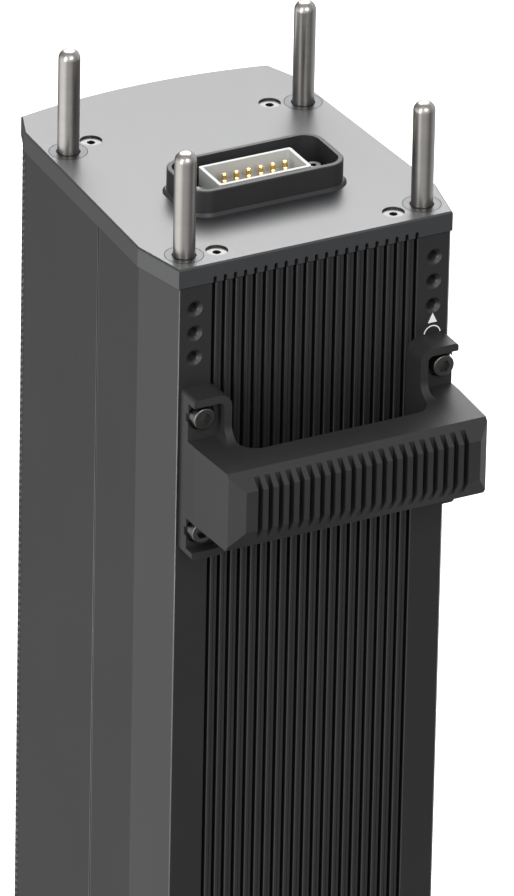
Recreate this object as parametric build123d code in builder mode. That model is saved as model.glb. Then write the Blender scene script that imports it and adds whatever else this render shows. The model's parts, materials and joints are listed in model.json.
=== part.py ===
"""Stackable battery column module: finned aluminium housing, stacking pins, carry handle and cells.

Millimetres, +Z up.  The origin is the centre of the four stacking sockets on the bottom face.
-Y is the finned side that carries the handle, +Y is the convex perforated side.
Depths (d) are counted from the finned rear face towards the perforated side, drops (t) from the top.
"""
import math
import os

from build123d import *

os.makedirs("parts", exist_ok=True)

# ---- driving dimensions ---------------------------------------------------------------------------
HEIGHT = 720.0            # body height, without pins and collar
REAR_W = 130.0            # flat rear face
FOLD_W, FOLD_D = 141.8, 26.9          # widest section, at the fold of the rear flank
FRONT_W, FRONT_D = 130.7, 145.1       # section where the front corner begins
NOSE_W, NOSE_D = 119.1, 160.0         # chord of the convex front
APEX_D = 166.5                        # crown of the convex front
SEAM_D = 68.3             # joint between the rear extrusion and the side panels
CAP_T = 9.0               # visible band of each cap
CAP_LIP = 0.7             # the caps stand proud of the column by this much
GASKET_T = 0.6
WALL = 3.0

PIN_X, PIN_D = 56.5, 12.25            # rear stacking pins
PIN_PITCH_Y = 108.5
PIN_R, PIN_UP, PIN_IN = 4.75, 48.2, 45.7
PIN_SHANK_R, PIN_SHOULDER = 4.55, 0.3      # turned down below a shoulder just over the bush
BUSH_R, BUSH_RING_R, BUSH_RING_T = 6.0, 8.25, 3.0
BUSH_BORE_R, SOCKET_BORE_R = 4.60, 4.85
BUSH_LEAD, SOCKET_LEAD = 0.7, 0.4
BUSH_L = 50.0

GROOVES, GROOVE_PITCH = 21, 4.795
GROOVE_W, GROOVE_DEPTH, GROOVE_MOUTH = 1.5, 7.0, 0.35
RIB_LINE_W, RIB_LINE_DEPTH = 0.35, 0.3
CAP_GROOVE_UP, CAP_GROOVE_DEPTH = 2.8, 4.0      # the grooves run on into the cap bands

BRACKET_X, BRACKET_T, BRACKET_PITCH = 56.9, 20.0, 11.5
TAP_M6_R, TAP_DEPTH, TAP_CHAMFER = 2.5, 5.4, 0.9
CAP_SCREW_X_REAR, CAP_SCREW_D_REAR = 42.0, 10.5
CAP_SCREW_X_FRONT, CAP_SCREW_D_FRONT = 43.0, 126.0
CAP_SCREW_R, CAP_HEAD_R = 2.5, 4.85

HANDLE_SCREW_X, HANDLE_SCREW_T = 57.0, (67.0, 121.0)
HANDLE_W_FOOT, HANDLE_W_BAR, HANDLE_CORNER = 126.0, 122.5, 5.5
HANDLE_TOP_T, HANDLE_BOTTOM_T = 78.0, 114.5
HANDLE_OUT, HANDLE_BEVEL = 47.0, 7.0
HANDLE_FACE_T = (85.0, 104.0)         # upper and lower edge of the grip's vertical face
GAP_HALF_W, GAP_OUT, GAP_R = 45.0, 25.0, 9.0
EAR_TOP_T, EAR_BOTTOM_T, EAR_OUT, EAR_WALL, EAR_R = 56.5, 132.5, 12.0, 3.6, 6.0
FOOT_FLOOR, SPOT_FLOOR, SPOT_R = 6.5, 4.5, 6.3
GRIPS, GRIP_PITCH, GRIP_W, GRIP_FLOOR = 21, 4.9, 2.5, 42.6
GRIP_T0, GRIP_T1 = 79.6, 110.5       # upper and lower end of the grip grooves

COLLAR_D = 57.0
COLLAR_W, COLLAR_L, COLLAR_UP, COLLAR_WALL, COLLAR_R = 74.0, 34.0, 11.5, 2.2, 9.0
HEADER_W, HEADER_L, HEADER_UP, HEADER_WALL = 44.0, 20.0, 9.5, 1.5
FLOAT_X, FLOAT_TRAVEL = 28.0, 0.8
CONTACT_PITCH, CONTACT_ROW, CONTACT_R = 5.8, 6.0, 1.2

CELL_W, CELL_T, CELL_H = 148.0, 26.5, 91.0          # each cell stands on its narrow side
CELL_PITCH_X, CELL_D0, LAYERS, PER_LAYER = 27.1, 22.0, 4, 4
TRAY_T, STACK_Z0 = 6.0, 34.0
TERMINAL_Z = 49.0         # terminals, each side of the cell's middle

BODY_Z0, BODY_Z1 = CAP_T + GASKET_T, HEIGHT - CAP_T - GASKET_T
GROOVE_X = [(i - (GROOVES - 1) / 2) * GROOVE_PITCH for i in range(GROOVES)]
LAYER_PITCH = CELL_W + TRAY_T
CELL_X = [(i - (PER_LAYER - 1) / 2) * CELL_PITCH_X for i in range(PER_LAYER)]
STACK_TOP = STACK_Z0 + LAYERS * LAYER_PITCH + TRAY_T
PLATE_SCREWS = [(s * 40.0, z) for s in (-1, 1) for z in (STACK_Z0 - 10, STACK_TOP + 10)]
PLATE_SCREW_R = 2.5


def at(d):
    """Depth from the rear face, as a y coordinate."""
    return d - PIN_D - PIN_PITCH_Y / 2


def top(t):
    """Drop below the top face, as a z coordinate."""
    return HEIGHT - t


PIN_D_FRONT = PIN_D + PIN_PITCH_Y
PINS = [(-PIN_X, at(PIN_D)), (PIN_X, at(PIN_D)), (-PIN_X, at(PIN_D_FRONT)), (PIN_X, at(PIN_D_FRONT))]
CAP_SCREWS = [(s * CAP_SCREW_X_REAR, at(CAP_SCREW_D_REAR)) for s in (-1, 1)]
CAP_SCREWS += [(s * CAP_SCREW_X_FRONT, at(CAP_SCREW_D_FRONT)) for s in (-1, 1)]


def save(builder, label):
    """Label a finished piece and write it."""
    builder.part.label = label
    export_step(builder.part, f"parts/{label}.step")


def outline(inset=0.0):
    """Column section as a face, moved inwards by inset."""
    with BuildSketch() as section:
        with BuildLine():
            Polyline(
                (-NOSE_W / 2, at(NOSE_D)), (-FRONT_W / 2, at(FRONT_D)), (-FOLD_W / 2, at(FOLD_D)),
                (-REAR_W / 2, at(0)), (REAR_W / 2, at(0)), (FOLD_W / 2, at(FOLD_D)),
                (FRONT_W / 2, at(FRONT_D)), (NOSE_W / 2, at(NOSE_D)),
            )
            ThreePointArc((NOSE_W / 2, at(NOSE_D)), (0, at(APEX_D)), (-NOSE_W / 2, at(NOSE_D)))
        make_face()
        if inset:
            offset(amount=-inset, kind=Kind.INTERSECTION)
    return section.sketch


def depth_band(d0, d1, mode=Mode.INTERSECT, width=400.0):
    """Keep or cut everything between two depths, inside a sketch."""
    with Locations((0, at((d0 + d1) / 2))):
        Rectangle(width, d1 - d0, mode=mode)


def window(x0, x1, d0, d1):
    """Plain rectangle between two x values and two depths, kept apart from any open sketch."""
    return Pos((x0 + x1) / 2, at((d0 + d1) / 2)) * Rectangle(x1 - x0, d1 - d0, mode=Mode.PRIVATE)


def groove(depth, mouth):
    """Cut one cooling groove with a bevelled mouth, at each current location on the rear face."""
    half = GROOVE_W / 2
    Polygon(
        (-half - mouth - 0.2, -0.2), (half + mouth + 0.2, -0.2), (half, mouth), (half, depth),
        (-half, depth), (-half, mouth), align=None, mode=Mode.SUBTRACT,
    )


# ---- housing --------------------------------------------------------------------------------------
BLOCK_X0, BLOCK_D1, INNER_D = 36.0, 20.0, 20.0
CHAMBER_W, CHAMBER_D0, CHAMBER_D1 = 15.0, 11.0, 17.0

with BuildPart() as rear_extrusion:
    with BuildSketch(Plane.XY.offset(BODY_Z0)):
        add(outline(CAP_LIP))
        depth_band(0, SEAM_D - 0.3)
        add(outline(CAP_LIP + WALL) & window(-150, 150, INNER_D, 200), mode=Mode.SUBTRACT)
        with Locations(*[(x, at(CAP_LIP)) for x in GROOVE_X]):
            groove(GROOVE_DEPTH - CAP_LIP, GROOVE_MOUTH)
        with Locations(*[(x + GROOVE_PITCH / 2, at(CAP_LIP)) for x in GROOVE_X[:-1]]):
            Rectangle(RIB_LINE_W, 2 * RIB_LINE_DEPTH, mode=Mode.SUBTRACT)
        with Locations(*[((i - 1.5) * (CHAMBER_W + 3), at((CHAMBER_D0 + CHAMBER_D1) / 2)) for i in range(4)]):
            RectangleRounded(CHAMBER_W, CHAMBER_D1 - CHAMBER_D0, 1.0, mode=Mode.SUBTRACT)
        with Locations(*PINS[:2]):
            Circle(BUSH_R + 0.05, mode=Mode.SUBTRACT)
    extrude(amount=BODY_Z1 - BODY_Z0)
    # inner lip that carries the side panels across the seam
    with BuildSketch(Plane.XY.offset(BODY_Z0 + 4)):
        add(outline(CAP_LIP + WALL + 0.2))
        add(outline(CAP_LIP + WALL + 2.4), mode=Mode.SUBTRACT)
        depth_band(SEAM_D - 8, SEAM_D + 7)
    extrude(amount=BODY_Z1 - BODY_Z0 - 8)
    with BuildSketch(Plane.XY.offset(BODY_Z0 + 4)):
        add(outline(CAP_LIP + WALL - 0.5))
        add(outline(CAP_LIP + WALL + 2.4), mode=Mode.SUBTRACT)
        depth_band(SEAM_D - 8, SEAM_D - 1)
    extrude(amount=BODY_Z1 - BODY_Z0 - 8)
    # tapped holes of the brackets and of the handle
    tapped = [(s * BRACKET_X, top(BRACKET_T + i * BRACKET_PITCH)) for s in (-1, 1) for i in range(3)]
    tapped += [(s * HANDLE_SCREW_X, top(t)) for s in (-1, 1) for t in HANDLE_SCREW_T]
    with Locations(*[Plane((x, at(CAP_LIP), z), x_dir=(1, 0, 0), z_dir=(0, -1, 0)) for x, z in tapped]):
        Hole(TAP_M6_R, depth=TAP_DEPTH)
        Cone(TAP_M6_R, TAP_M6_R + TAP_CHAMFER + 0.3, TAP_CHAMFER + 0.3,
             align=(Align.CENTER, Align.CENTER, Align.MAX), mode=Mode.SUBTRACT)
    with Locations(*[Plane((x, at(INNER_D), z), z_dir=(0, 1, 0)) for x, z in PLATE_SCREWS]):
        Hole(PLATE_SCREW_R, depth=5.5)
    # tapped ends of the screw ports
    for z, way in ((BODY_Z1, 1), (BODY_Z0, -1)):
        with Locations(*[Plane((x, y, z), z_dir=(0, 0, way)) for x, y in CAP_SCREWS[:2]]):
            Hole(CAP_SCREW_R, depth=20)
save(rear_extrusion, "rear_extrusion")


def side_panel(s):
    """Side extrusion from the seam to the front corner, with the front pin channel; s is -1 or +1."""
    pin, screw = PINS[2 if s < 0 else 3], CAP_SCREWS[2 if s < 0 else 3]
    with BuildPart() as panel:
        with BuildSketch(Plane.XY.offset(BODY_Z0)):
            add(outline(CAP_LIP))
            add(outline(CAP_LIP + WALL), mode=Mode.SUBTRACT)
            depth_band(SEAM_D + 0.3, FRONT_D - 0.2)
            with Locations(pin):
                Circle(BUSH_R + 1.25)
            with Locations((pin[0] + s * 4.5, pin[1])):
                Rectangle(5, 2 * BUSH_R, mode=Mode.ADD)
            with Locations(screw):
                Circle(4.6)
            with Locations(((pin[0] + screw[0]) / 2, (pin[1] + screw[1]) / 2)):
                Rectangle(12, 5, rotation=-s * 21.3)
            add(outline(CAP_LIP + 1.9) & window(*sorted((s * 58, s * 70)), FRONT_D - 5, FRONT_D + 5))
            add(outline(CAP_LIP) & window(*sorted((0, s * 150)), 0, 200), mode=Mode.INTERSECT)
            with Locations(pin):
                Circle(BUSH_R + 0.05, mode=Mode.SUBTRACT)
        extrude(amount=BODY_Z1 - BODY_Z0)
        for z, way in ((BODY_Z1, 1), (BODY_Z0, -1)):
            with Locations(Plane((screw[0], screw[1], z), z_dir=(0, 0, way))):
                Hole(CAP_SCREW_R, depth=20)
    return panel


save(side_panel(-1), "side_panel_left")
save(side_panel(1), "side_panel_right")

GRILLE_T, FILTER_T = 1.5, 3.0
with BuildPart() as front_grille:
    with BuildSketch(Plane.XY.offset(BODY_Z0)):
        add(outline(CAP_LIP))
        add(outline(CAP_LIP + GRILLE_T), mode=Mode.SUBTRACT)
        depth_band(FRONT_D, APEX_D)
    extrude(amount=BODY_Z1 - BODY_Z0)
save(front_grille, "front_grille")

with BuildPart() as front_filter:
    with BuildSketch(Plane.XY.offset(BODY_Z0 + 2)):
        add(outline(CAP_LIP + GRILLE_T + 0.3))
        add(outline(CAP_LIP + GRILLE_T + 0.3 + FILTER_T), mode=Mode.SUBTRACT)
        depth_band(NOSE_D - 7, APEX_D)
    extrude(amount=BODY_Z1 - BODY_Z0 - 4)
save(front_filter, "front_filter")


def cap_plate(z0):
    """Sketch-extruded cap plate with every through hole that both caps share."""
    with BuildPart() as plate:
        with BuildSketch(Plane.XY.offset(z0)):
            add(outline())
            with Locations(*PINS):
                Circle(BUSH_R + 0.05, mode=Mode.SUBTRACT)
            with Locations(*CAP_SCREWS):
                Circle(CAP_SCREW_R + 0.3, mode=Mode.SUBTRACT)
        extrude(amount=CAP_T)
    return plate


def recess_cap(face_z, way):
    """Cut bush seats and screw recesses from the outer face of a cap, inside its part context."""
    with Locations(*[Plane((x, y, face_z), z_dir=(0, 0, way)) for x, y in PINS]):
        Hole(BUSH_RING_R + 0.02, depth=BUSH_RING_T)
    with Locations(*[Plane((x, y, face_z), z_dir=(0, 0, way)) for x, y in CAP_SCREWS]):
        Hole(CAP_HEAD_R, depth=1.0)
        with Locations((0, 0, -1.0)):
            Cone(CAP_SCREW_R, CAP_HEAD_R, 2.5, align=(Align.CENTER, Align.CENTER, Align.MAX),
                 mode=Mode.SUBTRACT)


def cap_grooves(z_joint, way):
    """Round-ended cuts that carry the grooves from the joint into a cap band."""
    with BuildPart() as cuts:
        with BuildSketch(Plane((0, at(0), z_joint), x_dir=(1, 0, 0), z_dir=(0, -1, 0))):
            with Locations(*[(x, way * (CAP_GROOVE_UP - 2) / 2) for x in GROOVE_X]):
                SlotOverall(CAP_GROOVE_UP + 2, GROOVE_W + 0.1, rotation=90)
        extrude(amount=-CAP_GROOVE_DEPTH)
    return cuts.part


TRAY_FLOOR = 3.0          # thickness of the collar's floor, sunk into the cap
FOOT_GROW, FOOT_T, FOOT_SEAT = 1.5, 1.8, 0.4
with BuildPart() as top_cap:
    add(cap_plate(top(CAP_T)).part)
    chamfer(top_cap.faces().sort_by(Axis.Z)[-1].outer_wire().edges(), 0.7)
    recess_cap(HEIGHT, 1)
    add(cap_grooves(top(CAP_T), 1), mode=Mode.SUBTRACT)
    with BuildSketch(Plane.XY.offset(HEIGHT)):
        with Locations((0, at(COLLAR_D))):
            RectangleRounded(COLLAR_W, COLLAR_L, COLLAR_R)
    extrude(amount=-TRAY_FLOOR, mode=Mode.SUBTRACT)
    with BuildSketch(Plane.XY.offset(HEIGHT)):
        with Locations((0, at(COLLAR_D))):
            RectangleRounded(COLLAR_W + 2 * FOOT_GROW + 0.3, COLLAR_L + 2 * FOOT_GROW + 0.3,
                             COLLAR_R + FOOT_GROW + 0.15)
    extrude(amount=-FOOT_SEAT, mode=Mode.SUBTRACT)
    with BuildSketch(Plane.XY.offset(HEIGHT)):
        with Locations((0, at(COLLAR_D))):
            Rectangle(COLLAR_W - 8, HEADER_L + 4)
    extrude(amount=-CAP_T, mode=Mode.SUBTRACT)
save(top_cap, "top_cap")

POCKET_W, POCKET_L, POCKET_UP = COLLAR_W + 6, COLLAR_L + 6, 13.5
POCKET_BOX, SOCKET_W, SOCKET_L = 4.0, 39.6, 15.6
with BuildPart() as bottom_cap:
    add(cap_plate(0).part)
    with BuildSketch(Plane.XY.offset(CAP_T)):
        with Locations((0, at(COLLAR_D))):
            RectangleRounded(POCKET_W + 2 * POCKET_BOX, POCKET_L + 2 * POCKET_BOX, COLLAR_R)
    extrude(amount=POCKET_UP + POCKET_BOX - CAP_T)
    chamfer(bottom_cap.faces().sort_by(Axis.Z)[0].outer_wire().edges(), 0.7)
    recess_cap(0, -1)
    add(cap_grooves(CAP_T, -1), mode=Mode.SUBTRACT)
    with BuildSketch(Plane.XY):
        with Locations((0, at(COLLAR_D))):
            RectangleRounded(POCKET_W, POCKET_L, COLLAR_R)
    extrude(amount=POCKET_UP, mode=Mode.SUBTRACT)
    with BuildSketch(Plane.XY.offset(POCKET_UP)):
        with Locations((0, at(COLLAR_D))):
            Rectangle(SOCKET_W, SOCKET_L)
    extrude(amount=POCKET_BOX, mode=Mode.SUBTRACT)
save(bottom_cap, "bottom_cap")

for name, z0 in (("top_gasket", BODY_Z1), ("bottom_gasket", CAP_T)):
    with BuildPart() as gasket:
        with BuildSketch(Plane.XY.offset(z0)):
            add(outline(CAP_LIP + 0.6))
            add(outline(CAP_LIP + 2.4) & window(-150, 150, 15, 200), mode=Mode.SUBTRACT)
            with Locations(*[(x, at(CAP_LIP)) for x in GROOVE_X]):
                Rectangle(GROOVE_W, 2 * (GROOVE_DEPTH - CAP_LIP), mode=Mode.SUBTRACT)
            with Locations(*PINS[:2]):
                Circle(BUSH_R + 0.1, mode=Mode.SUBTRACT)
            with Locations(*CAP_SCREWS[:2]):
                Circle(CAP_SCREW_R + 0.3, mode=Mode.SUBTRACT)
        extrude(amount=GASKET_T)
    save(gasket, name)

# ---- cap screws, bushes and stacking pins ---------------------------------------------------------
for name, z, way in (("top_cap_screws", HEIGHT, 1), ("bottom_cap_screws", 0, -1)):
    with BuildPart() as screws:
        for x, y in CAP_SCREWS:
            face = Plane((x, y, z - way * 1.0), z_dir=(0, 0, way))
            with BuildSketch(face):
                Circle(CAP_HEAD_R - 0.05)
            with BuildSketch(face.offset(-2.5)):
                Circle(CAP_SCREW_R - 0.05)
            loft()
            with BuildSketch(face.offset(-2.5)):
                Circle(CAP_SCREW_R - 0.05)
            extrude(amount=-16)
            with BuildSketch(face):
                RegularPolygon(1.9, 6)
                RegularPolygon(1.9, 6, rotation=30)
            extrude(amount=-2.0, mode=Mode.SUBTRACT)
    save(screws, name)


def bush(bore, lead_in):
    """Flanged steel bush with a blind bore, hanging from its ring's face at z = 0."""
    with BuildPart() as body:
        Cylinder(BUSH_RING_R, BUSH_RING_T, align=(Align.CENTER, Align.CENTER, Align.MAX))
        Cylinder(BUSH_R, BUSH_L, align=(Align.CENTER, Align.CENTER, Align.MAX))
        Cylinder(bore, BUSH_L - 3, align=(Align.CENTER, Align.CENTER, Align.MAX), mode=Mode.SUBTRACT)
        chamfer(body.faces().sort_by(Axis.Z)[-1].inner_wires()[0].edges(), lead_in)
    return body.part


for name, z, way, bore, lead_in in (("pin_bushes", HEIGHT, 1, BUSH_BORE_R, BUSH_LEAD),
                                    ("socket_bushes", 0, -1, SOCKET_BORE_R, SOCKET_LEAD)):
    with BuildPart() as bushes:
        for x, y in PINS:
            add(Plane((x, y, z), z_dir=(0, 0, way)) * bush(bore, lead_in))
    save(bushes, name)

for number, (x, y) in enumerate(PINS, 1):
    with BuildPart() as stack_pin:
        with BuildSketch(Plane.XY.offset(top(PIN_IN)).move(Location((x, y, 0)))):
            Circle(PIN_SHANK_R)
        extrude(amount=PIN_IN + PIN_SHOULDER + 1)
        with BuildSketch(Plane.XY.offset(HEIGHT + PIN_SHOULDER).move(Location((x, y, 0)))):
            Circle(PIN_R)
        extrude(amount=PIN_UP - PIN_SHOULDER)
        fillet(stack_pin.edges().sort_by(Axis.Z)[-1], PIN_R * 0.86)
        chamfer(stack_pin.edges().sort_by(Axis.Z)[0], 0.6)
    save(stack_pin, f"stack_pin_{number}")

# ---- carry handle ---------------------------------------------------------------------------------
BASE_Y = at(CAP_LIP)      # the handle's feet lie on the column here
RIB_PITCH, RIB_POCKET, RIB_WALL = 20.0, 17.5, 3.0
HOLLOW_OUT, ARM_MIDDLE = 39.0, 53.5
SWEEP_R = 7.0


def ear_sketch(t0, t1):
    """Upright face of one foot on the right, between two drops, seen from behind the handle."""
    width, middle = HANDLE_W_FOOT / 2 - GAP_HALF_W, (top(t0) + top(t1)) / 2
    inner = Pos(HANDLE_W_FOOT / 2, middle) * RectangleRounded(2 * width, t1 - t0, EAR_R, mode=Mode.PRIVATE)
    outer = Pos(HANDLE_W_FOOT / 2 - width / 2, middle) * RectangleRounded(width, t1 - t0, 1.5, mode=Mode.PRIVATE)
    return inner & outer


with BuildPart() as carry_handle:
    # bar and arms, as one side profile
    with BuildSketch(Plane.YZ.offset(-HANDLE_W_FOOT / 2)):
        Polygon(
            (BASE_Y, top(HANDLE_TOP_T)), (at(-HANDLE_OUT + HANDLE_BEVEL), top(HANDLE_TOP_T)),
            (at(-HANDLE_OUT), top(HANDLE_FACE_T[0])), (at(-HANDLE_OUT), top(HANDLE_FACE_T[1])),
            (at(-HANDLE_OUT + HANDLE_BEVEL), top(HANDLE_BOTTOM_T)),
            (BASE_Y, top(HANDLE_BOTTOM_T)), align=None,
        )
    extrude(amount=HANDLE_W_FOOT)
    # in plan the arms lean in a little and the front corners are round
    with BuildSketch(Plane.XY.offset(top(HANDLE_BOTTOM_T))) as plan:
        Polygon(
            (-HANDLE_W_FOOT / 2, BASE_Y), (HANDLE_W_FOOT / 2, BASE_Y),
            (HANDLE_W_FOOT / 2, at(-EAR_OUT - 1)), (HANDLE_W_BAR / 2, at(-HANDLE_OUT)),
            (-HANDLE_W_BAR / 2, at(-HANDLE_OUT)), (-HANDLE_W_FOOT / 2, at(-EAR_OUT - 1)), align=None,
        )
        chamfer(plan.vertices().group_by(Axis.Y)[0], HANDLE_CORNER)
    extrude(amount=HANDLE_BOTTOM_T - HANDLE_TOP_T, mode=Mode.INTERSECT)
    # feet, above and below the bar
    with BuildSketch(Plane((0, BASE_Y, 0), x_dir=(1, 0, 0), z_dir=(0, -1, 0))) as feet:
        add(ear_sketch(EAR_TOP_T, HANDLE_TOP_T + 10))
        add(ear_sketch(HANDLE_BOTTOM_T - 10, EAR_BOTTOM_T))
        mirror(about=Plane.YZ)
    extrude(amount=EAR_OUT + CAP_LIP)
    # the inner wall of each upper foot sweeps forward into the top of its arm
    for side in (-GAP_HALF_W - 9, GAP_HALF_W - 3):
        with BuildSketch(Plane.YZ.offset(side)):
            with Locations((at(-EAR_OUT) - SWEEP_R / 2 + 1, top(HANDLE_TOP_T) + SWEEP_R / 2 - 1)):
                Rectangle(SWEEP_R + 2, SWEEP_R + 2)
            with Locations((at(-EAR_OUT) - SWEEP_R, top(HANDLE_TOP_T) + SWEEP_R)):
                Circle(SWEEP_R, mode=Mode.SUBTRACT)
        extrude(amount=12)
    # finger gap
    with BuildSketch(Plane.XY.offset(top(EAR_BOTTOM_T))):
        with Locations((0, (at(-GAP_OUT) + BASE_Y + 20) / 2)):
            RectangleRounded(2 * GAP_HALF_W, GAP_OUT + CAP_LIP + 20, GAP_R)
    extrude(amount=EAR_BOTTOM_T - EAR_TOP_T, mode=Mode.SUBTRACT)
    # screw pockets, open to the front and to the side, with a round seat for each screw
    with BuildSketch(Plane((0, at(-FOOT_FLOOR), 0), x_dir=(1, 0, 0), z_dir=(0, -1, 0))):
        for t0, t1 in ((EAR_TOP_T + EAR_WALL, HANDLE_TOP_T), (HANDLE_BOTTOM_T, EAR_BOTTOM_T - EAR_WALL)):
            add(Pos((GAP_HALF_W + EAR_WALL + 80) / 2, (top(t0) + top(t1)) / 2)
                * RectangleRounded(80 - GAP_HALF_W - EAR_WALL, t1 - t0, 2.5, mode=Mode.PRIVATE))
        mirror(about=Plane.YZ)
    extrude(amount=60, mode=Mode.SUBTRACT)
    with Locations(*[Plane((s * HANDLE_SCREW_X, at(-FOOT_FLOOR), top(t)), x_dir=(1, 0, 0), z_dir=(0, -1, 0))
                     for s in (-1, 1) for t in HANDLE_SCREW_T]):
        Hole(SPOT_R, depth=FOOT_FLOOR - SPOT_FLOOR)
        Hole(3.3)
    # grip grooves
    with BuildSketch(Plane((0, at(-GRIP_FLOOR), 0), x_dir=(1, 0, 0), z_dir=(0, -1, 0))):
        middle, reach = (GRIP_T0 + GRIP_T1) / 2, GRIP_T1 - GRIP_T0
        with Locations(*[((i - (GRIPS - 1) / 2) * GRIP_PITCH, top(middle)) for i in range(GRIPS)]):
            SlotOverall(reach, GRIP_W, rotation=90)
    extrude(amount=20, mode=Mode.SUBTRACT)
    # ribbed hollows, open below
    with BuildSketch(Plane.XY.offset(top(HANDLE_BOTTOM_T))):
        with Locations((0, at(-(GAP_OUT + RIB_WALL + HOLLOW_OUT) / 2))):
            with GridLocations(RIB_PITCH, 1, 5, 1):
                RectangleRounded(RIB_POCKET, HOLLOW_OUT - GAP_OUT - RIB_WALL, 2)
        with Locations(*[(s * ARM_MIDDLE, at(-26)) for s in (-1, 1)]):
            RectangleRounded(9, 20, 2)
    extrude(amount=HANDLE_BOTTOM_T - HANDLE_FACE_T[0] - 1, mode=Mode.SUBTRACT)
save(carry_handle, "carry_handle")

with BuildPart() as handle_screws:
    for x in (-HANDLE_SCREW_X, HANDLE_SCREW_X):
        for t in HANDLE_SCREW_T:
            seat = Plane((x, at(-SPOT_FLOOR), top(t)), x_dir=(1, 0, 0), z_dir=(0, -1, 0))
            with BuildSketch(seat):
                Circle(5.0)
            extrude(amount=6.0)
            with BuildSketch(seat):
                Circle(TAP_M6_R - 0.05)
            extrude(amount=-(SPOT_FLOOR + CAP_LIP + TAP_DEPTH - 0.6))
            with BuildSketch(seat.offset(6.0)):
                RegularPolygon(2.5 / 0.866, 6)
            extrude(amount=-3.2, mode=Mode.SUBTRACT)
    heads = handle_screws.edges().filter_by(GeomType.CIRCLE).filter_by(lambda e: e.radius > 4.9)
    fillet(heads.group_by(Axis.Y)[0], 0.6)
save(handle_screws, "handle_screws")

# ---- top connector: collar, floating header, contacts and shoulder screws ---------------------------
COLLAR_FLOOR_Z, COLLAR_BASE_Z = HEIGHT - 0.5, HEIGHT - TRAY_FLOOR
COLLAR_TOP = HEIGHT + COLLAR_UP
HEADER_BODY_W, HEADER_BODY_L = HEADER_W - 2, HEADER_L - 3
EAR_PLATE_Z0, EAR_PLATE_T = COLLAR_FLOOR_Z + 0.3, 2.0
SHOULDER_R, FLOAT_HEAD_R, FLOAT_HEAD_T = 2.0, 3.65, 2.2
SLOT_W = 2 * SHOULDER_R + 0.6
HEADER_AT = (0, at(COLLAR_D))

with BuildPart() as connector_collar:
    with BuildSketch(Plane.XY.offset(COLLAR_BASE_Z)):
        with Locations(HEADER_AT):
            RectangleRounded(COLLAR_W - 0.1, COLLAR_L - 0.1, COLLAR_R)
    extrude(amount=TRAY_FLOOR)
    with BuildSketch(Plane.XY.offset(HEIGHT - FOOT_SEAT)):
        with Locations(HEADER_AT):
            RectangleRounded(COLLAR_W + 2 * FOOT_GROW, COLLAR_L + 2 * FOOT_GROW, COLLAR_R + FOOT_GROW)
    extrude(amount=FOOT_T, taper=30)
    with BuildSketch(Plane.XY.offset(HEIGHT)):
        with Locations(HEADER_AT):
            RectangleRounded(COLLAR_W, COLLAR_L, COLLAR_R)
    extrude(amount=COLLAR_UP)
    fillet(connector_collar.faces().sort_by(Axis.Z)[-1].edges(), 0.6)
    with BuildSketch(Plane.XY.offset(COLLAR_FLOOR_Z)):
        with Locations(HEADER_AT):
            RectangleRounded(COLLAR_W - 2 * COLLAR_WALL, COLLAR_L - 2 * COLLAR_WALL, COLLAR_R - COLLAR_WALL)
    extrude(amount=COLLAR_UP + 2, mode=Mode.SUBTRACT)
    with BuildSketch(Plane.XY.offset(COLLAR_BASE_Z)):
        with Locations(*[(s * FLOAT_X, HEADER_AT[1]) for s in (-1, 1)]):
            Circle(2.9)
    extrude(amount=-5)
    with BuildSketch(Plane.XY.offset(COLLAR_FLOOR_Z)):
        with Locations(HEADER_AT):
            RectangleRounded(HEADER_BODY_W + 2 * FLOAT_TRAVEL + 0.8, HEADER_BODY_L + 0.8, 1.5)
        with Locations(*[(s * FLOAT_X, HEADER_AT[1]) for s in (-1, 1)]):
            Circle(1.5)
    extrude(amount=-12, mode=Mode.SUBTRACT)
save(connector_collar, "connector_collar")

CONTACTS = [(HEADER_AT[0] + (i - 2.5) * CONTACT_PITCH + row * 1.45, HEADER_AT[1] + row * CONTACT_ROW / 2)
            for row in (-1, 1) for i in range(6)]
HEADER_LOW, CONTACT_TOP, CONTACT_LOW = HEIGHT - 17, HEIGHT + 7.5, HEIGHT - 22

with BuildPart() as connector_header:
    with BuildSketch(Plane.XY.offset(HEADER_LOW)):
        with Locations(HEADER_AT):
            RectangleRounded(HEADER_BODY_W, HEADER_BODY_L, 1)
    extrude(amount=EAR_PLATE_Z0 - HEADER_LOW)
    with BuildSketch(Plane.XY.offset(EAR_PLATE_Z0)):
        with Locations(HEADER_AT):
            SlotOverall(2 * FLOAT_X + 9.6, 11)
            RectangleRounded(HEADER_W, HEADER_L, 1)
        with Locations(*[(s * FLOAT_X, HEADER_AT[1]) for s in (-1, 1)]):
            SlotOverall(SLOT_W + 2 * FLOAT_TRAVEL, SLOT_W, mode=Mode.SUBTRACT)
    extrude(amount=EAR_PLATE_T)
    with BuildSketch(Plane.XY.offset(EAR_PLATE_Z0 + EAR_PLATE_T)):
        with Locations(HEADER_AT):
            RectangleRounded(HEADER_W, HEADER_L, 1)
            RectangleRounded(HEADER_W - 2 * HEADER_WALL, HEADER_L - 2 * HEADER_WALL, 0.6, mode=Mode.SUBTRACT)
    extrude(amount=HEIGHT + HEADER_UP - EAR_PLATE_Z0 - EAR_PLATE_T)
    with Locations(*[Location((x, y, HEADER_LOW - 1)) for x, y in CONTACTS]):
        Cylinder(CONTACT_R, 40, align=(Align.CENTER, Align.CENTER, Align.MIN), mode=Mode.SUBTRACT)
save(connector_header, "connector_header")

with BuildPart() as contact_pins:
    with BuildSketch(Plane.XY.offset(CONTACT_LOW)):
        with Locations(*CONTACTS):
            Circle(CONTACT_R)
    extrude(amount=CONTACT_TOP - CONTACT_LOW)
    fillet(contact_pins.edges().group_by(Axis.Z)[-1], 0.8)
save(contact_pins, "contact_pins")

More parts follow.
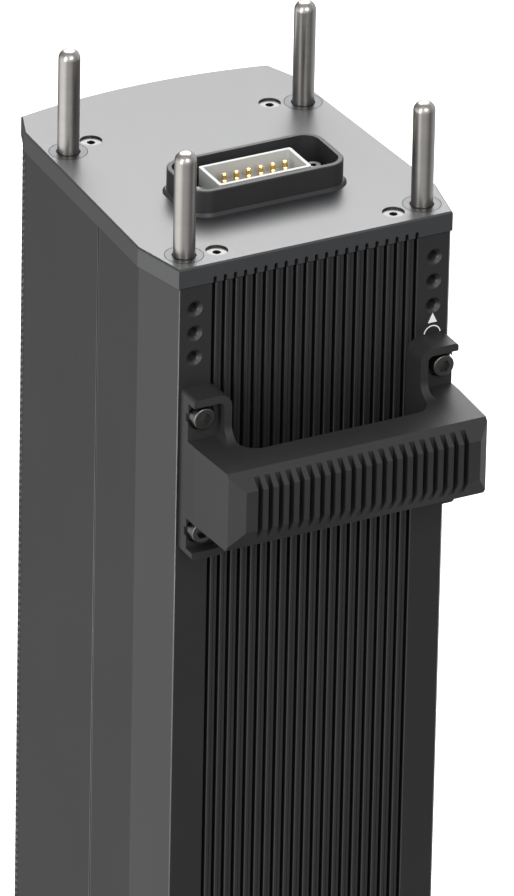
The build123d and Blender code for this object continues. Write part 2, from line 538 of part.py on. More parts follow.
with BuildPart() as header_float_screws:
    for s in (-1, 1):
        seat = Plane((s * FLOAT_X, HEADER_AT[1], COLLAR_FLOOR_Z))
        with BuildSketch(seat):
            Circle(SHOULDER_R)
        extrude(amount=EAR_PLATE_T + 0.6)
        with BuildSketch(seat.offset(EAR_PLATE_T + 0.6)):
            Circle(FLOAT_HEAD_R)
        extrude(amount=FLOAT_HEAD_T)
        with BuildSketch(seat):
            Circle(1.5)
        extrude(amount=-6.5)
        with BuildSketch(seat.offset(EAR_PLATE_T + 0.6 + FLOAT_HEAD_T)):
            RegularPolygon(1.6, 6)
        extrude(amount=-1.3, mode=Mode.SUBTRACT)
    fillet(header_float_screws.edges().filter_by(lambda e: e.geom_type == GeomType.CIRCLE
                                                 and e.radius > 3.6).group_by(Axis.Z)[-1], 0.5)
save(header_float_screws, "header_float_screws")

# ---- bottom connector: female block with sleeves -----------------------------------------------------
SOCKET_Z0, SOCKET_Z1, FLANGE_T = 2.2, 24.0, 3.0
CEILING_Z = POCKET_UP + POCKET_BOX
SLEEVE_R, SLEEVE_BORE_R = 1.75, 1.3

with BuildPart() as bottom_socket:
    with BuildSketch(Plane.XY.offset(SOCKET_Z0)):
        with Locations(HEADER_AT):
            RectangleRounded(SOCKET_W, SOCKET_L, 0.8)
    extrude(amount=SOCKET_Z1 - SOCKET_Z0)
    with BuildSketch(Plane.XY.offset(CEILING_Z)):
        with Locations(HEADER_AT):
            RectangleRounded(SOCKET_W + 14, SOCKET_L + 4, 3)
    extrude(amount=FLANGE_T)
    chamfer(bottom_socket.faces().sort_by(Axis.Z)[0].edges(), 0.5)
    with Locations(*[Location((x, y, SOCKET_Z0 - 1)) for x, y in CONTACTS]):
        Cylinder(SLEEVE_R, 40, align=(Align.CENTER, Align.CENTER, Align.MIN), mode=Mode.SUBTRACT)
    with Locations(*[(s * (SOCKET_W / 2 + 3.6), HEADER_AT[1], CEILING_Z + FLANGE_T) for s in (-1, 1)]):
        Hole(1.6, depth=FLANGE_T)
save(bottom_socket, "bottom_socket")

with BuildPart() as socket_contacts:
    with BuildSketch(Plane.XY.offset(SOCKET_Z0 + 0.6)):
        with Locations(*CONTACTS):
            Circle(SLEEVE_R)
            Circle(SLEEVE_BORE_R, mode=Mode.SUBTRACT)
    extrude(amount=14)
    with BuildSketch(Plane.XY.offset(SOCKET_Z0 + 14.6)):
        with Locations(*CONTACTS):
            Circle(SLEEVE_R)
    extrude(amount=12)
save(socket_contacts, "socket_contacts")

with BuildPart() as socket_screws:
    for s in (-1, 1):
        seat = Plane((s * (SOCKET_W / 2 + 3.6), HEADER_AT[1], CEILING_Z + FLANGE_T))
        with BuildSketch(seat):
            Circle(2.75)
        extrude(amount=2.4)
        with BuildSketch(seat):
            Circle(1.5)
        extrude(amount=-(FLANGE_T + 0.0))
        with BuildSketch(seat.offset(2.4)):
            RegularPolygon(1.3, 6)
        extrude(amount=-1.4, mode=Mode.SUBTRACT)
save(socket_screws, "socket_screws")

# ---- cell stack -------------------------------------------------------------------------------------
CELL_MID_D = CELL_D0 + CELL_H / 2
CELL_FACE_Y = at(CELL_D0 + CELL_H)
LAYER_Z = [STACK_Z0 + TRAY_T + i * LAYER_PITCH for i in range(LAYERS)]
TERMINAL_R, TERMINAL_T, STUD_R, STUD_UP = 6.0, 2.0, 3.0, 8.0
BUSBAR_W, BUSBAR_T, NUT_T = 13.0, 2.5, 3.5
ROD_X, ROD_D, ROD_R, ROD_OVER = 57.5, (34.0, 100.0), 2.5, 10.0
RODS = [(s * ROD_X, at(d)) for s in (-1, 1) for d in ROD_D]
END_PLATE_T, FLANGE_H = 4.0, 13.0
FRONT_PLANE = Plane((0, CELL_FACE_Y, 0), x_dir=(-1, 0, 0), z_dir=(0, 1, 0))

with BuildPart() as thermal_pad:
    with Locations((0, at(INNER_D), STACK_Z0 + TRAY_T)):
        Box(2 * 54, CELL_D0 - INNER_D, STACK_TOP - STACK_Z0 - 2 * TRAY_T,
            align=(Align.CENTER, Align.MIN, Align.MIN))
save(thermal_pad, "thermal_pad")

for number, z in enumerate(LAYER_Z, 1):
    with BuildPart() as cells:
        with BuildSketch(Plane.XY.offset(z)):
            with Locations(*[(x, at(CELL_MID_D)) for x in CELL_X]):
                RectangleRounded(CELL_T, CELL_H, 2.5)
        extrude(amount=CELL_W)
        fillet(cells.edges().filter_by(GeomType.LINE).filter_by(Axis.X), 1.2)
        # pressure vents in the terminal faces
        with BuildSketch(FRONT_PLANE):
            with Locations(*[(-x, z + CELL_W / 2) for x in CELL_X]):
                SlotOverall(16, 9, rotation=90)
        extrude(amount=-0.6, mode=Mode.SUBTRACT)
    save(cells, f"cells_layer_{number}")

TERMINALS = [(x, z + CELL_W / 2 + s * TERMINAL_Z) for z in LAYER_Z for x in CELL_X for s in (-1, 1)]
with BuildPart() as cell_terminals:
    with BuildSketch(FRONT_PLANE):
        with Locations(*[(-x, z) for x, z in TERMINALS]):
            Circle(TERMINAL_R)
    extrude(amount=TERMINAL_T)
    with BuildSketch(FRONT_PLANE.offset(TERMINAL_T)):
        with Locations(*[(-x, z) for x, z in TERMINALS]):
            Circle(STUD_R)
    extrude(amount=STUD_UP - TERMINAL_T)
save(cell_terminals, "cell_terminals")

# columns are chained upwards, and neighbouring columns meet at the top, the bottom and the top
LINKS = [(x, z + CELL_W / 2 + TERMINAL_Z, x, z + CELL_W / 2 + TERMINAL_Z + LAYER_PITCH - 2 * TERMINAL_Z)
         for x in CELL_X for z in LAYER_Z[:-1]]
LOW_Z, HIGH_Z = LAYER_Z[0] + CELL_W / 2 - TERMINAL_Z, LAYER_Z[-1] + CELL_W / 2 + TERMINAL_Z
LINKS += [(CELL_X[i], z, CELL_X[i + 1], z) for i, z in enumerate((HIGH_Z, LOW_Z, HIGH_Z))]
TAB_X = 28.0              # the two end tabs stop here, where the main leads start
LINKS += [(CELL_X[0], LOW_Z, -TAB_X, LOW_Z), (TAB_X, LOW_Z, CELL_X[3], LOW_Z)]
with BuildPart() as busbars:
    with BuildSketch(FRONT_PLANE.offset(TERMINAL_T)):
        for x0, z0, x1, z1 in LINKS:
            with Locations((-(x0 + x1) / 2, (z0 + z1) / 2)):
                Rectangle(abs(x1 - x0) + BUSBAR_W, z1 - z0 + BUSBAR_W)
        with Locations(*[(-x, z) for x, z in TERMINALS]):
            Circle(STUD_R + 0.1, mode=Mode.SUBTRACT)
    extrude(amount=BUSBAR_T)
save(busbars, "busbars")

with BuildPart() as terminal_nuts:
    with BuildSketch(FRONT_PLANE.offset(TERMINAL_T + BUSBAR_T)):
        with Locations(*[(-x, z) for x, z in TERMINALS]):
            RegularPolygon(5.0 / 0.866, 6)
            Circle(STUD_R, mode=Mode.SUBTRACT)
    extrude(amount=NUT_T)
save(terminal_nuts, "terminal_nuts")

POST_X, POST_D1 = 27.1, 132.0
with BuildPart() as cell_trays:
    for i in range(LAYERS + 1):
        z = STACK_Z0 + i * LAYER_PITCH
        with BuildSketch(Plane.XY.offset(z)):
            with Locations((0, at(CELL_MID_D))):
                RectangleRounded(2 * ROD_X + 8, CELL_H, 4)
                with GridLocations(CELL_PITCH_X, 44, PER_LAYER, 2):
                    RectangleRounded(20, 34, 3, mode=Mode.SUBTRACT)
            with Locations(*RODS):
                Circle(ROD_R + 0.2, mode=Mode.SUBTRACT)
        extrude(amount=TRAY_T)
        with BuildSketch(Plane((0, CELL_FACE_Y, z + TRAY_T / 2), x_dir=(-1, 0, 0), z_dir=(0, 1, 0))):
            with Locations((-POST_X, 0), (POST_X, 0)):
                Circle(TRAY_T / 2)
        extrude(amount=POST_D1 - CELL_D0 - CELL_H)
save(cell_trays, "cell_trays")

with BuildPart() as cell_spacers:
    for z in LAYER_Z:
        with BuildSketch(Plane.XY.offset(z)):
            with Locations(*[((CELL_X[i] + CELL_X[i + 1]) / 2, at(CELL_MID_D)) for i in range(PER_LAYER - 1)]):
                Rectangle(CELL_PITCH_X - CELL_T, CELL_H)
        extrude(amount=CELL_W)
save(cell_spacers, "cell_spacers")

with BuildPart() as end_plates:
    for z0, way in ((STACK_Z0, -1), (STACK_TOP, 1)):
        with BuildSketch(Plane.XY.offset(z0)):
            with Locations((0, at((INNER_D + CELL_D0 + CELL_H) / 2))):
                Rectangle(2 * ROD_X + 8, CELL_H + CELL_D0 - INNER_D)
            with Locations(*RODS):
                Circle(ROD_R + 0.2, mode=Mode.SUBTRACT)
        extrude(amount=way * END_PLATE_T)
        with BuildSketch(Plane.XY.offset(z0)):
            with Locations((0, at(INNER_D + 1.5))):
                Rectangle(96, 3)
        extrude(amount=way * (END_PLATE_T + FLANGE_H))
    with Locations(*[Plane((x, at(INNER_D + 3), z), z_dir=(0, 1, 0)) for x, z in PLATE_SCREWS]):
        Hole(2.6, depth=3)
save(end_plates, "end_plates")

with BuildPart() as end_plate_screws:
    for x, z in PLATE_SCREWS:
        seat = Plane((x, at(INNER_D + 3), z), z_dir=(0, 1, 0))
        with BuildSketch(seat):
            Circle(4.2)
        extrude(amount=3)
        with BuildSketch(seat):
            Circle(PLATE_SCREW_R - 0.05)
        extrude(amount=-8)
        with BuildSketch(seat.offset(3)):
            RegularPolygon(2.0, 6)
        extrude(amount=-1.8, mode=Mode.SUBTRACT)
save(end_plate_screws, "end_plate_screws")

with BuildPart() as tie_rods:
    with BuildSketch(Plane.XY.offset(STACK_Z0 - END_PLATE_T - ROD_OVER)):
        with Locations(*RODS):
            Circle(ROD_R)
    extrude(amount=STACK_TOP - STACK_Z0 + 2 * (END_PLATE_T + ROD_OVER))
save(tie_rods, "tie_rods")

with BuildPart() as tie_rod_nuts:
    for z, way in ((STACK_Z0 - END_PLATE_T, -1), (STACK_TOP + END_PLATE_T, 1)):
        with BuildSketch(Plane.XY.offset(z)):
            with Locations(*RODS):
                RegularPolygon(4.0 / 0.866, 6)
                Circle(ROD_R, mode=Mode.SUBTRACT)
        extrude(amount=way * 4.5)
save(tie_rod_nuts, "tie_rod_nuts")

# ---- electronics, in front of the terminals -----------------------------------------------------------
PANEL_W, PANEL_T, PANEL_Z0, PANEL_Z1 = 78.0, 2.5, 88.0, 630.0
PANEL_PLANE = Plane((0, at(POST_D1 + PANEL_T), 0), x_dir=(-1, 0, 0), z_dir=(0, 1, 0))
BOARD_W, BOARD_H, BOARD_MID_Z, BOARD_T, STANDOFF = 74.0, 200.0, 460.0, 1.6, 4.0
BOARD_SCREWS = [(sx * (BOARD_W / 2 - 5), BOARD_MID_Z + sz * (BOARD_H / 2 - 5)) for sx in (-1, 1) for sz in (-1, 1)]
BOARD_PLANE = PANEL_PLANE.offset(STANDOFF + BOARD_T)
SHUNT_X, SHUNT_Z, FUSE_X, FUSE_Z = 20.0, 280.0, 18.0, 170.0       # fuse on the left, shunt on the right

with BuildPart() as electronics_panel:
    with BuildSketch(PANEL_PLANE):
        with Locations((0, (PANEL_Z0 + PANEL_Z1) / 2)):
            RectangleRounded(PANEL_W, PANEL_Z1 - PANEL_Z0, 4)
    extrude(amount=-PANEL_T)
    with BuildSketch(PANEL_PLANE):
        with Locations(*BOARD_SCREWS):
            Circle(3.5)
    extrude(amount=STANDOFF)
    with BuildSketch(PANEL_PLANE.offset(STANDOFF)):
        with Locations(*BOARD_SCREWS):
            Circle(1.3)
    extrude(amount=-STANDOFF - 1, mode=Mode.SUBTRACT)
save(electronics_panel, "electronics_panel")

with BuildPart() as bms_board:
    with BuildSketch(BOARD_PLANE):
        with Locations((0, BOARD_MID_Z)):
            RectangleRounded(BOARD_W, BOARD_H, 3)
        with Locations(*BOARD_SCREWS):
            Circle(1.6, mode=Mode.SUBTRACT)
    extrude(amount=-BOARD_T)
save(bms_board, "bms_board")

with BuildPart() as board_screws:
    for x, z in BOARD_SCREWS:
        seat = Plane((-x, at(POST_D1 + PANEL_T + STANDOFF + BOARD_T), z), x_dir=(-1, 0, 0), z_dir=(0, 1, 0))
        with BuildSketch(seat):
            Circle(2.75)
        extrude(amount=2)
        with BuildSketch(seat):
            Circle(1.25)
        extrude(amount=-5.5)
        with BuildSketch(seat.offset(2)):
            RegularPolygon(1.2, 6)
        extrude(amount=-1.2, mode=Mode.SUBTRACT)
save(board_screws, "board_screws")

with BuildPart() as switching_transistors:
    with BuildSketch(BOARD_PLANE):
        with Locations((0, BOARD_MID_Z - 62)):
            with GridLocations(14, 22, 4, 2):
                Rectangle(10, 12)
    extrude(amount=4.4)
save(switching_transistors, "switching_transistors")

with BuildPart() as board_capacitors:
    with BuildSketch(BOARD_PLANE):
        with Locations((-24, BOARD_MID_Z + 60), (-24, BOARD_MID_Z + 42)):
            Circle(6.25)
    extrude(amount=13)
    fillet(board_capacitors.faces().sort_by(Axis.Y)[-1].edges(), 0.8)
save(board_capacitors, "board_capacitors")

with BuildPart() as board_chips:
    with BuildSketch(BOARD_PLANE):
        with Locations((8, BOARD_MID_Z + 18), (8, BOARD_MID_Z + 62)):
            Rectangle(14, 14)
        with Locations((-20, BOARD_MID_Z + 8)):
            Rectangle(9, 16)
    extrude(amount=1.6)
save(board_chips, "board_chips")

with BuildPart() as board_sockets:
    with BuildSketch(BOARD_PLANE):
        with Locations((6, BOARD_MID_Z + 90)):
            Rectangle(40, 9)
        with Locations((30, BOARD_MID_Z + 10)):
            Rectangle(8, 40)
    extrude(amount=9)
    with BuildSketch(BOARD_PLANE.offset(9)):
        with Locations((6, BOARD_MID_Z + 90)):
            Rectangle(37, 6)
        with Locations((30, BOARD_MID_Z + 10)):
            Rectangle(5, 37)
    extrude(amount=-7, mode=Mode.SUBTRACT)
save(board_sockets, "board_sockets")

with BuildPart() as current_shunt:
    with BuildSketch(PANEL_PLANE):
        with Locations((-SHUNT_X, SHUNT_Z - 24), (-SHUNT_X, SHUNT_Z + 24)):
            Rectangle(20, 18)
    extrude(amount=10)
    with BuildSketch(PANEL_PLANE.offset(3)):
        with Locations((-SHUNT_X, SHUNT_Z)):
            with GridLocations(6, 1, 3, 1):
                Rectangle(2.4, 31)
    extrude(amount=5)
save(current_shunt, "current_shunt")

with BuildPart() as fuse_holder:
    with BuildSketch(PANEL_PLANE):
        with Locations((FUSE_X, FUSE_Z)):
            RectangleRounded(26, 92, 3)
    extrude(amount=5)
    with BuildSketch(PANEL_PLANE.offset(5)):
        with Locations((FUSE_X, FUSE_Z - 36), (FUSE_X, FUSE_Z + 36)):
            Rectangle(18, 12)
    extrude(amount=5)
save(fuse_holder, "fuse_holder")

with BuildPart() as main_fuse:
    with BuildSketch(PANEL_PLANE.offset(10)):
        with Locations((FUSE_X, FUSE_Z)):
            Rectangle(14, 84)
    extrude(amount=2)
    with BuildSketch(PANEL_PLANE.offset(5.4)):
        with Locations((FUSE_X, FUSE_Z)):
            RectangleRounded(22, 46, 2)
    extrude(amount=12)
save(main_fuse, "main_fuse")

LEAD_R, HARNESS_R = 3.0, 2.5


def lead(points, radius):
    """Round insulated lead that follows a route of straight runs and round corners."""
    turns = []
    for a, b, c in zip(points, points[1:], points[2:]):
        run_in, run_out = Vector(*b) - Vector(*a), Vector(*c) - Vector(*b)
        half_turn = math.radians(run_in.get_angle(run_out)) / 2
        turns.append(0.45 * min(run_in.length, run_out.length) / math.tan(half_turn))
    with BuildPart() as wire:
        with BuildLine() as route:
            FilletPolyline(*points, radius=turns)
        with BuildSketch(Plane(origin=route.line @ 0, z_dir=route.line % 0)):
            Circle(radius)
        sweep()
    return wire.part


TAB_D = CELL_D0 + CELL_H + TERMINAL_T + BUSBAR_T + 0.1
FUSE_BLADE_D, SHUNT_MID_D, BOARD_LEAD_D = POST_D1 + PANEL_T + 11, POST_D1 + PANEL_T + 5, 143.3
FUSE_Z0, FUSE_Z1 = FUSE_Z - 42.1, FUSE_Z + 42.1
SHUNT_Z0, SHUNT_Z1 = SHUNT_Z - 33.1, SHUNT_Z + 33.1
LEAD_ROUTES = [
    [(-26, TAB_D, LOW_Z), (-26, 131, LOW_Z), (-22, 142, 84), (-FUSE_X, FUSE_BLADE_D, 106), (-FUSE_X, FUSE_BLADE_D, FUSE_Z0)],
    [(-FUSE_X, FUSE_BLADE_D, FUSE_Z1), (-FUSE_X, FUSE_BLADE_D, 260), (-20, 144.5, 305), (-22, BOARD_LEAD_D, 345),
     (-22, BOARD_LEAD_D, 372)],
    [(26, TAB_D, LOW_Z), (26, 131, LOW_Z), (24, 141, 84), (21, 141, 130), (SHUNT_X, SHUNT_MID_D, 190),
     (SHUNT_X, SHUNT_MID_D, SHUNT_Z0)],
    [(SHUNT_X, SHUNT_MID_D, SHUNT_Z1), (SHUNT_X, SHUNT_MID_D, 330), (20, BOARD_LEAD_D, 352), (20, BOARD_LEAD_D, 372)],
]
HARNESS_ROUTES = [
    [(-6, 144.6, 554.6), (-6, 144.6, 588), (-5, 142, 628), (-3, 124, 674), (0, 90, 683), (0, 62, 684),
     (0, COLLAR_D, 696)],
    [(0, BOARD_LEAD_D, 372), (0, BOARD_LEAD_D, 340), (1, 140.5, 290), (0, 140, 230), (-1, 140, 170), (0, 140, 112),
     (0, 134, 62), (0, 119, 28), (0, 96, 23.8), (0, COLLAR_D + SOCKET_L / 2 + 0.1, 23.8)],
]
for name, routes, radius in (("power_leads", LEAD_ROUTES, LEAD_R), ("signal_harness", HARNESS_ROUTES, HARNESS_R)):
    wires = [lead([(x, at(d), z) for x, d, z in route], radius) for route in routes]
    with BuildPart() as bundle:
        add(wires)
    print(name, round(bundle.part.volume), "mm3")
    save(bundle, name)
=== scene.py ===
"""Looks of the stackable battery column module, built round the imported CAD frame."""

import json
import math

import bmesh
import bpy
import numpy as np
from mathutils import Matrix, Vector

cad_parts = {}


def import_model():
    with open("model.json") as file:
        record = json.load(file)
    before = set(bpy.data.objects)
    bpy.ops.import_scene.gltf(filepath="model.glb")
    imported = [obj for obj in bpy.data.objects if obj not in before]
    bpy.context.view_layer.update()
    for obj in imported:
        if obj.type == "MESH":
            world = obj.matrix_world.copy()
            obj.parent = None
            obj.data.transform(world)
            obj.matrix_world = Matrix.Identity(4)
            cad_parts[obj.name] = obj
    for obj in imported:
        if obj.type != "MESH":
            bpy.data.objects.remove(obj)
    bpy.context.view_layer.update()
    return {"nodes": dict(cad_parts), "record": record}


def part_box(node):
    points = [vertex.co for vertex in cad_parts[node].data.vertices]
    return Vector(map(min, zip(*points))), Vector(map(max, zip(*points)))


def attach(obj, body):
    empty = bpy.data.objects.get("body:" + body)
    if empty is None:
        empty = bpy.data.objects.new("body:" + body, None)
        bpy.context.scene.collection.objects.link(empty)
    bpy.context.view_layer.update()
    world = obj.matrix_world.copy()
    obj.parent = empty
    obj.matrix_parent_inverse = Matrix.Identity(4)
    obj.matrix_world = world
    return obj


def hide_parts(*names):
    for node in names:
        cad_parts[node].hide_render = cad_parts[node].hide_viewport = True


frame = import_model()
nodes = frame["nodes"]
MM = 0.001

# ---- places, worked out from the frame ------------------------------------------------------------
CAP_LOW, CAP_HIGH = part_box("top_cap")
BODY_LOW, BODY_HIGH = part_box("rear_extrusion")
GRILLE_LOW, GRILLE_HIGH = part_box("front_grille")
TOP_Z = CAP_HIGH[2]
REAR_Y = BODY_LOW[1]              # the finned face
CAP_REAR_Y = CAP_LOW[1]
MOUNTS = {m["name"]: m for m in frame["record"]["mounts"]}


# ---- materials ---------------------------------------------------------------------------------------
def node_material(name):
    """New material with its tree, its main shader and its object coordinates."""
    material = bpy.data.materials.new(name)
    material.use_nodes = True
    tree = material.node_tree
    shader = tree.nodes["Principled BSDF"]
    coords = tree.nodes.new("ShaderNodeTexCoord")
    return material, tree, shader, coords.outputs["Object"]


def noise(tree, vector, scale, detail, stretch):
    """Noise value, its pattern stretched along the axes."""
    mapping = tree.nodes.new("ShaderNodeMapping")
    mapping.inputs["Scale"].default_value = stretch
    texture = tree.nodes.new("ShaderNodeTexNoise")
    texture.inputs["Scale"].default_value = scale
    texture.inputs["Detail"].default_value = detail
    tree.links.new(vector, mapping.inputs["Vector"])
    tree.links.new(mapping.outputs["Vector"], texture.inputs["Vector"])
    return texture.outputs["Fac"]


def ramp(tree, value, stops):
    """Colour ramp over a value; stops are (position, colour) pairs."""
    node = tree.nodes.new("ShaderNodeValToRGB")
    while len(node.color_ramp.elements) < len(stops):
        node.color_ramp.elements.new(0.5)
    for element, (position, colour) in zip(node.color_ramp.elements, stops):
        element.position = position
        element.color = (*colour, 1)
    tree.links.new(value, node.inputs["Fac"])
    return node.outputs["Color"]


def vary(colour, amount):
    """A darker and a lighter version of a colour."""
    return [tuple(c * (1 + k * amount) for c in colour) for k in (-1, 1)]


def spread(tree, value, low, high):
    """Value mapped from 0..1 to low..high."""
    node = tree.nodes.new("ShaderNodeMapRange")
    node.inputs["To Min"].default_value = low
    node.inputs["To Max"].default_value = high
    tree.links.new(value, node.inputs["Value"])
    return node.outputs["Result"]


def bump(tree, shader, value, distance):
    """Surface relief from a value, distance in metres."""
    node = tree.nodes.new("ShaderNodeBump")
    node.inputs["Distance"].default_value = distance
    node.inputs["Strength"].default_value = 1.0
    tree.links.new(value, node.inputs["Height"])
    tree.links.new(node.outputs["Normal"], shader.inputs["Normal"])


CLOUD_SCALE, CLOUD_DETAIL, GRAIN_DETAIL = 14.0, 5.0, 2.0
CLOUD_DARK, CLOUD_LIGHT = 0.3, 0.7                  # noise values of the darkest and the lightest colour
ROUGHNESS_SPREAD = 0.06


def surface(name, colour, roughness, metallic=0.0, grain=900.0, relief=0.00004, change=0.12,
            stretch=(1, 1, 1), coat=0.0, specular=0.5):
    """General finish: colour clouding, roughness variation and a fine grain in relief."""
    material, tree, shader, vector = node_material(name)
    clouds = noise(tree, vector, CLOUD_SCALE, CLOUD_DETAIL, stretch)
    fine = noise(tree, vector, grain, GRAIN_DETAIL, stretch)
    dark, light = vary(colour, change)
    tint = ramp(tree, clouds, [(CLOUD_DARK, dark), (CLOUD_LIGHT, light)])
    tree.links.new(tint, shader.inputs["Base Color"])
    rough = spread(tree, fine, roughness - ROUGHNESS_SPREAD, roughness + ROUGHNESS_SPREAD)
    tree.links.new(rough, shader.inputs["Roughness"])
    shader.inputs["Metallic"].default_value = metallic
    shader.inputs["Coat Weight"].default_value = coat
    shader.inputs["Specular IOR Level"].default_value = specular
    bump(tree, shader, fine, relief)
    return material


# turned steel: fine rings round the upright axis
TURNED = dict(metallic=1.0, grain=500.0, relief=0.000008, change=0.06, stretch=(0.25, 0.25, 9.0))

FINISHES = {
    "black_anodised": dict(colour=(0.0135, 0.0137, 0.0145), roughness=0.40, grain=1600.0, relief=0.00002,
                           change=0.10, specular=0.55),
    "black_grille": dict(colour=(0.012, 0.012, 0.013), roughness=0.5, grain=1500.0, relief=0.00002),
    "punched_edge": dict(colour=(0.34, 0.33, 0.32), roughness=0.4, metallic=0.8, grain=900.0,
                         relief=0.00001),
    # painted highlight: this light grey stands for the glints on the small bevels of the seams and corners
    "painted_edge_highlight": dict(colour=(0.16, 0.16, 0.165), roughness=0.35, metallic=0.7, grain=600.0,
                        relief=0.00001),
    "filter_foam": dict(colour=(0.012, 0.012, 0.012), roughness=0.95, grain=420.0, relief=0.0006,
                        change=0.4),
    "cap_satin": dict(colour=(0.026, 0.027, 0.029), roughness=0.36, grain=1800.0, relief=0.000015,
                      change=0.06, specular=0.8),
    "black_rubber": dict(colour=(0.012, 0.012, 0.012), roughness=0.75, grain=700.0),
    "black_steel": dict(colour=(0.15, 0.148, 0.145), roughness=0.34, metallic=1.0, grain=600.0,
                        relief=0.00001),
    "bush_steel": dict(colour=(0.075, 0.076, 0.08), roughness=0.36, **TURNED),
    "stainless": dict(colour=(0.40, 0.385, 0.365), roughness=0.30, **TURNED),
    "black_nylon": dict(colour=(0.0230, 0.0230, 0.0242), roughness=0.44, grain=1300.0, relief=0.00005,
                        change=0.14, specular=0.3),
    "white_plastic": dict(colour=(0.42, 0.43, 0.42), roughness=0.45, grain=900.0, relief=0.00002,
                          change=0.05),
    "gold": dict(colour=(0.88, 0.62, 0.26), roughness=0.22, metallic=1.0, grain=500.0, relief=0.00001),
    "zinc_steel": dict(colour=(0.62, 0.62, 0.63), roughness=0.3, metallic=1.0, grain=500.0,
                       relief=0.00001),
    "grey_silicone": dict(colour=(0.40, 0.41, 0.43), roughness=0.7, grain=300.0),
    "cell_can": dict(colour=(0.66, 0.67, 0.69), roughness=0.32, metallic=1.0, grain=260.0, relief=0.00001,
                     stretch=(1, 1, 0.05)),
    "copper": dict(colour=(0.80, 0.42, 0.27), roughness=0.3, metallic=1.0, grain=300.0, relief=0.00001),
    "insulator_sheet": dict(colour=(0.66, 0.65, 0.58), roughness=0.5, grain=700.0, stretch=(1, 1, 3)),
    "circuit_board": dict(colour=(0.03, 0.17, 0.08), roughness=0.35, grain=420.0, change=0.3),
    "chip_black": dict(colour=(0.02, 0.02, 0.02), roughness=0.6),
    "capacitor_sleeve": dict(colour=(0.04, 0.06, 0.17), roughness=0.25, coat=0.4),
    "red_insulation": dict(colour=(0.42, 0.03, 0.02), roughness=0.5, grain=200.0),
    "white_print": dict(colour=(0.72, 0.74, 0.72), roughness=0.6, grain=600.0, relief=0.00001,
                        change=0.05),
}
MATERIALS = {name: surface(name, **finish) for name, finish in FINISHES.items()}

SLOTS = {s["node"]: s["material_slot"] for s in frame["record"]["subparts"]}
for node_name, node in nodes.items():
    node.data.materials.clear()
    node.data.materials.append(MATERIALS[SLOTS[node_name]])

# the shoulder screws beside the header are darker than the zinc steel of their slot
nodes["header_float_screws"].data.materials[0] = MATERIALS["black_steel"]

# small roundings that let edges catch the light: the least angle, and the widths in millimetres
SMALL_EDGE_ANGLE = math.radians(35)
SMALL_EDGES = {
    "top_cap": 0.35, "bottom_cap": 0.35, "pin_bushes": 0.15, "socket_bushes": 0.3, "connector_collar": 0.3,
    "connector_header": 0.15, "rear_extrusion": 0.22, "side_panel_left": 0.35, "side_panel_right": 0.35,
    "carry_handle": 0.45, "top_cap_screws": 0.15, "bottom_cap_screws": 0.15, "handle_screws": 0.2,
    "header_float_screws": 0.15, "bottom_socket": 0.2,
}
for node_name, width in SMALL_EDGES.items():
    edges = nodes[node_name].modifiers.new("small_edges", "BEVEL")
    edges.width = width * MM
    edges.segments = 2
    edges.limit_method = "ANGLE"
    edges.angle_limit = SMALL_EDGE_ANGLE
    edges.use_clamp_overlap = True


# ---- helpers for new pieces -------------------------------------------------------------------------
def piece(name, mesh, slot, body="housing", smooth=False):
    """Links a mesh as a finished piece of the object."""
    obj = bpy.data.objects.new(name, mesh)
    bpy.context.scene.collection.objects.link(obj)
    mesh.materials.append(MATERIALS[slot])
    for polygon in mesh.polygons:
        polygon.use_smooth = smooth
    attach(obj, body)
    return obj


def mesh_of(name, vertices, faces):
    """New mesh from vertices and faces."""
    mesh = bpy.data.meshes.new(name)
    mesh.from_pydata([tuple(v) for v in vertices], [], [tuple(f) for f in faces])
    mesh.validate()
    return mesh


def lathe(profile, origin, axis, steps):
    """Vertices and faces of a closed profile of (radius, height) points turned about an axis."""
    axis = Vector(axis).normalized()
    side = axis.orthogonal().normalized()
    other = axis.cross(side)
    vertices, faces, count = [], [], len(profile)
    for step in range(steps):
        angle = 2 * math.pi * step / steps
        out = side * math.cos(angle) + other * math.sin(angle)
        vertices += [Vector(origin) + out * r + axis * h for r, h in profile]
    for step in range(steps):
        a, b = step * count, (step + 1) % steps * count
        faces += [(a + i, a + (i + 1) % count, b + (i + 1) % count, b + i) for i in range(count)]
    return vertices, faces


def lathes(name, turns):
    """One mesh of several turned shapes; each turn holds what lathe asks for."""
    vertices, faces = [], []
    for turn in turns:
        some, quads = lathe(*turn)
        faces += [tuple(i + len(vertices) for i in face) for face in quads]
        vertices += some
    return mesh_of(name, vertices, faces)


# ---- perforated front -------------------------------------------------------------------------------
SHEET_T = 1.5 * MM
SIDE_MARGIN, END_MARGIN = 3 * MM, 6 * MM            # left plain, both sides or both ends together
FACE_STEPS = 40
NOSE_SLOPE = 0.55                                   # the nose is the point farthest along (slope, 1)
HOLE_R, TILE_W, TILE_H = 1.0 * MM, 2.8 * MM, 3.2 * MM


def front_path():
    """Outer line of the front sheet in plan: corner flat, convex face, corner flat."""
    half_edge = GRILLE_HIGH[0]
    verts = [v.co for v in nodes["front_grille"].data.vertices if v.co.z > BODY_HIGH[2] - MM]
    outer_nose = max((v for v in verts if v.x > 0), key=lambda v: v.x * NOSE_SLOPE + v.y)
    half_nose, nose_y = outer_nose.x, outer_nose.y
    edge_y, crown_y = GRILLE_LOW[1], GRILLE_HIGH[1]
    rise = crown_y - nose_y
    radius = (half_nose ** 2 + rise ** 2) / (2 * rise)
    reach = math.asin(half_nose / radius)
    points = [Vector((-half_edge, edge_y))]
    for i in range(FACE_STEPS + 1):
        angle = -reach + 2 * reach * i / FACE_STEPS
        points.append(Vector((radius * math.sin(angle), crown_y - radius + radius * math.cos(angle))))
    points.append(Vector((half_edge, edge_y)))
    return points


def along(points, distances, s):
    """Point and outward normal at length s along a plan line."""
    i = int(np.clip(np.searchsorted(distances, s) - 1, 0, len(points) - 2))
    run = points[i + 1] - points[i]
    t = (s - distances[i]) / run.length
    place = points[i] + run * t
    return place, Vector((-run.y, run.x)).normalized()


